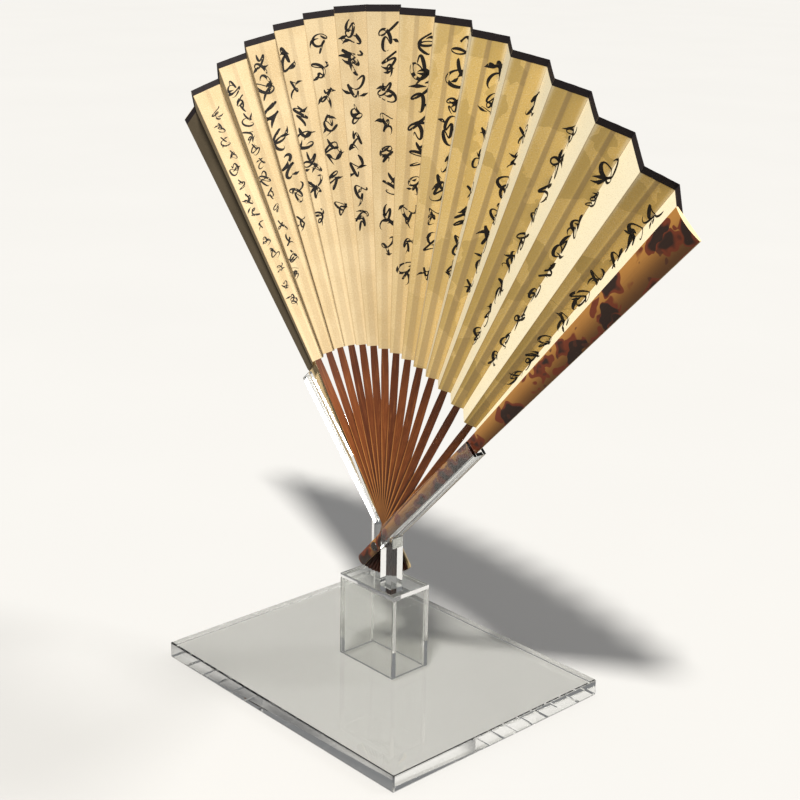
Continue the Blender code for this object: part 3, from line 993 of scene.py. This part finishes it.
def build_rivet(horn):
    """The rivet as turned on a lathe, the same at both ends."""
    half = rivet_outline()
    outline = half + [(radius, -depth) for radius, depth in reversed(half)]
    turning = bmesh.new()
    verts = [turning.verts.new((radius, depth, 0)) for radius, depth in outline]
    edges = [turning.edges.new(pair) for pair in zip(verts, verts[1:])]
    bmesh.ops.spin(turning, geom=verts + edges, cent=(0, 0, 0), axis=(0, 1, 0),
                   angle=2 * math.pi, steps=TURN_STEPS, use_merge=True)
    bmesh.ops.remove_doubles(turning, verts=turning.verts, dist=WELD)
    bmesh.ops.recalc_face_normals(turning, faces=turning.faces)
    bmesh.ops.translate(turning, verts=turning.verts, vec=PIVOT)
    mesh = mesh_from("rivet", turning)
    smooth(mesh, SMOOTH_ANGLE)
    piece = link("horn_rivet", mesh, horn)
    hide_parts("rivet")
    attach(piece, body_of("rivet"))


def dress(node, face, edge, width):
    """A node's own mesh with its faces and eased edges in their materials."""
    node.data.materials.clear()
    for material in (face, edge):
        node.data.materials.append(material)
    bevel = node.modifiers.new("eased_edge", "BEVEL")
    bevel.width = width
    bevel.segments = EASE_SEGMENTS
    bevel.limit_method = "ANGLE"
    bevel.angle_limit = EASE_ANGLE
    bevel.material = 1


def dress_stand():
    """Every sheet of the stand in clear acrylic."""
    clear, edge = acrylic_material(), acrylic_edge_material()
    for name, node in NODES.items():
        if body_of(name) == "stand":
            dress(node, clear, edge, ACRYLIC_EASE)


def dress_ribs():
    """Each rib in its own tone of the wood."""
    tones = np.random.default_rng(RIB_SEED)
    edge = rib_edge_material()
    lines = [stick_line(name)[0] for name in RIB_NAMES + ["guard_front"]]
    for name, line, next_line in zip(RIB_NAMES, lines, lines[1:]):
        wood = rib_material(name.replace("rib", "rib_wood"), float(tones.random()), line, next_line)
        dress(NODES[name], wood, edge, RIB_EASE)


# Stage


def build_floor():
    signs = ((-1, -1), (1, -1), (1, 1), (-1, 1))
    corners = [(x * FLOOR_REACH, y * FLOOR_REACH, 0) for x, y in signs]
    floor = link("floor", mesh_of("floor", corners, [(0, 1, 2, 3)]), floor_material())
    floor.location.z = -FLOOR_DROP


def build_world():
    """A dim sky that lights the fan; the camera sees a paler backdrop instead."""
    world = bpy.data.worlds.new("studio")
    bpy.context.scene.world = world
    world.use_nodes = True
    tree = world.node_tree
    dim = tree.nodes["Background"]
    dim.inputs["Color"].default_value = rgb(0.96, 0.98, 1.0)
    dim.inputs["Strength"].default_value = AMBIENT
    pale = tree.nodes.new("ShaderNodeBackground")
    pale.inputs["Color"].default_value = rgb(1.0, 0.98, 0.94)
    pale.inputs["Strength"].default_value = BACKDROP
    seen = tree.nodes.new("ShaderNodeLightPath").outputs["Is Camera Ray"]
    both = tree.nodes.new("ShaderNodeMixShader")
    tree.links.new(seen, both.inputs[0])
    tree.links.new(dim.outputs[0], both.inputs[1])
    tree.links.new(pale.outputs[0], both.inputs[2])
    tree.links.new(both.outputs[0], tree.nodes["World Output"].inputs["Surface"])


def sun_light(name, toward, strength, spread, colour):
    """A far soft light that shines along toward, from a disc of spread degrees."""
    lamp = bpy.data.lights.new(name, "SUN")
    lamp.energy = strength
    lamp.angle = math.radians(spread)
    lamp.color = colour
    item = bpy.data.objects.new(name, lamp)
    bpy.context.scene.collection.objects.link(item)
    item.rotation_mode = "QUATERNION"
    item.rotation_quaternion = Vector(toward).to_track_quat("-Z", "Y")


def build_lights():
    """A key light from nearly overhead, and a fainter one from behind."""
    sun_light("key", KEY_TOWARD, 6.0, 6, (1.0, 0.97, 0.91))
    sun_light("back", BACK_TOWARD, 1.3, 12, (1.0, 0.98, 0.95))


def build_camera():
    data = bpy.data.cameras.new("camera")
    data.sensor_width = SENSOR
    data.lens = CAMERA_LENS
    camera = bpy.data.objects.new("camera", data)
    bpy.context.scene.collection.objects.link(camera)
    turn = (Matrix.Rotation(CAMERA_YAW, 4, "Z")
            @ Matrix.Rotation(math.pi / 2 - CAMERA_PITCH, 4, "X")
            @ Matrix.Rotation(CAMERA_ROLL, 4, "Z"))
    camera.matrix_world = Matrix.Translation(CAMERA_PLACE) @ turn
    bpy.context.scene.camera = camera


def set_looks():
    """Plain colours, and enough light paths for thick clear plates."""
    scene = bpy.context.scene
    scene.view_settings.view_transform = "Standard"
    scene.cycles.max_bounces = CLEAR_BOUNCES
    scene.cycles.glossy_bounces = CLEAR_BOUNCES
    scene.cycles.transmission_bounces = CLEAR_BOUNCES
    scene.cycles.caustics_refractive = False
    scene.cycles.caustics_reflective = False


build_camera()
build_floor()
build_world()
build_lights()
set_looks()
PAPER, EDGING = paper_material(), edging_material()
build_leaf(PAPER, EDGING, ink_material())
build_guards(bamboo_material(), bamboo_cut_material(), PAPER, EDGING)
build_rivet(rivet_material())
dress_stand()
dress_ribs()
